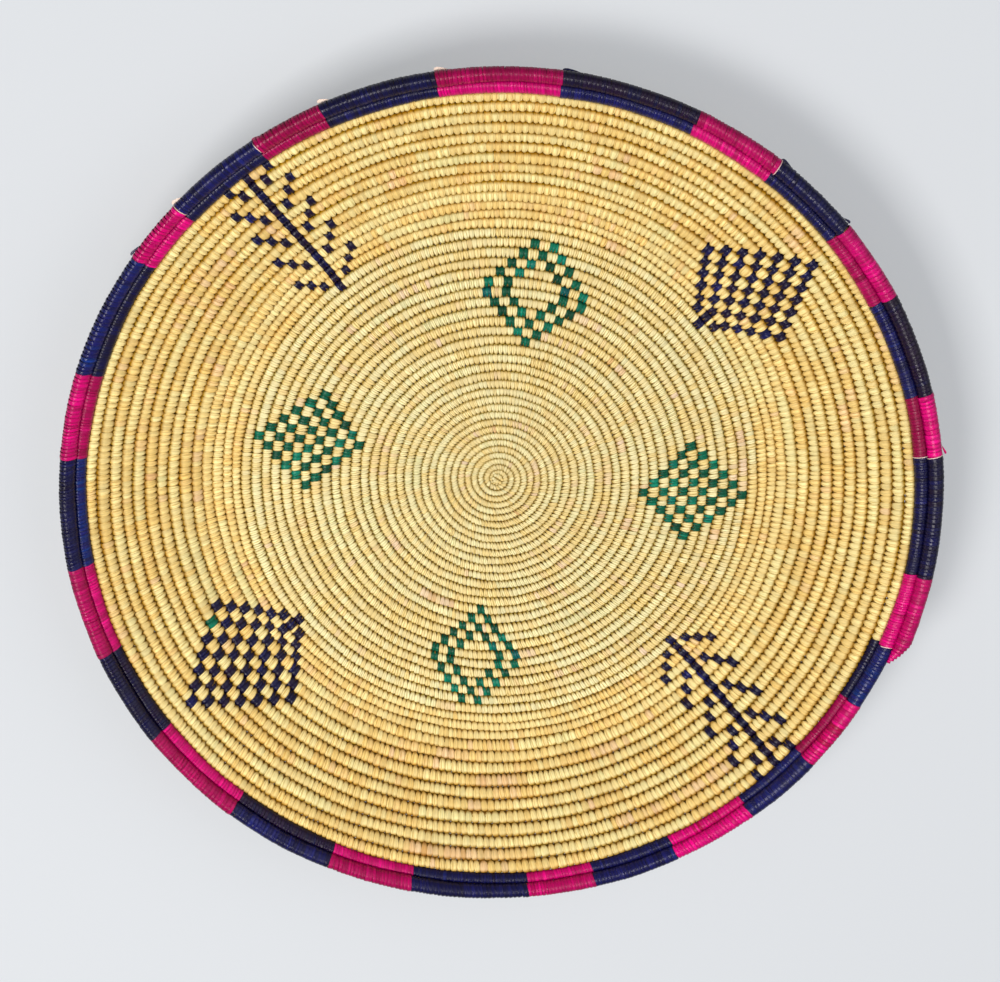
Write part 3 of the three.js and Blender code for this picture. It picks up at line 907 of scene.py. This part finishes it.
# %% The lights
for name, place, size, watts, colour in [  # place and size in metres
    ("window", (-0.8, -0.35, 1.8), 0.8, 36, "#fffaf2"),
    ("white_wall", (1.4, 0.5, 1.6), 2.0, 16, "#fffdfa"),
]:
    lamp = bpy.data.lights.new(name, "AREA")
    lamp.size, lamp.energy, lamp.color = size, watts, linear(colour)[:3]
    light = bpy.data.objects.new(name, lamp)
    light.location = place
    light.rotation_euler = Vector(place).to_track_quat("Z", "Y").to_euler()
    bpy.context.scene.collection.objects.link(light)

world = bpy.data.worlds.new("white_room")
bpy.context.scene.world = world
world.use_nodes = True
tree = world.node_tree
daylight = tree.nodes["Background"]
daylight.inputs["Color"].default_value = linear("#faf9f6")
daylight.inputs["Strength"].default_value = 0.3
ray = add_node(tree, "ShaderNodeLightPath")
room = add_node(tree, "ShaderNodeBackground", None, {"Color": linear(ROOM)})
mixed = add_node(tree, "ShaderNodeMixShader", None, {
    0: ray.outputs["Is Camera Ray"], 1: daylight.outputs[0], 2: room.outputs[0],
})
tree.links.new(mixed.outputs[0], tree.nodes["World Output"].inputs["Surface"])

# %% [markdown]
# ## The camera
# The rows' ellipses give the camera's place: 1.35 m away, about 71 degrees above the tray's plane, with a
# lens of about 105 mm on a 36 mm picture. They hardly tell which way is up in the picture. The motifs and
# the rim's joints do: up is 0.45 degrees clockwise of the tray's +Y, seen from above.

# %% The camera
TOWARDS_CAMERA = Vector((-0.0225, 0.317, 0.948)).normalized()
PICTURE_UP = Vector((0.0074, 0.948, -0.317))
CAMERA_DISTANCE, LENS, PICTURE_WIDTH = 1.353, 104.8, 36
AIM_HEIGHT, AIM_RIGHT, AIM_DOWN = 0.003, 0.0011, 0.0053  # metres from the centre of the tray
right = PICTURE_UP.cross(TOWARDS_CAMERA).normalized()
picture_up = TOWARDS_CAMERA.cross(right)
camera = bpy.data.objects.new("camera", bpy.data.cameras.new("camera"))
camera.data.lens = LENS
camera.data.sensor_width = PICTURE_WIDTH
aim = Vector((0, 0, AIM_HEIGHT)) + right * AIM_RIGHT - picture_up * AIM_DOWN
facing = Matrix((right, picture_up, TOWARDS_CAMERA)).transposed().to_4x4()
camera.matrix_world = Matrix.Translation(aim + TOWARDS_CAMERA * CAMERA_DISTANCE) @ facing
bpy.context.scene.collection.objects.link(camera)
bpy.context.scene.camera = camera
bpy.context.scene.view_settings.view_transform = "Standard"
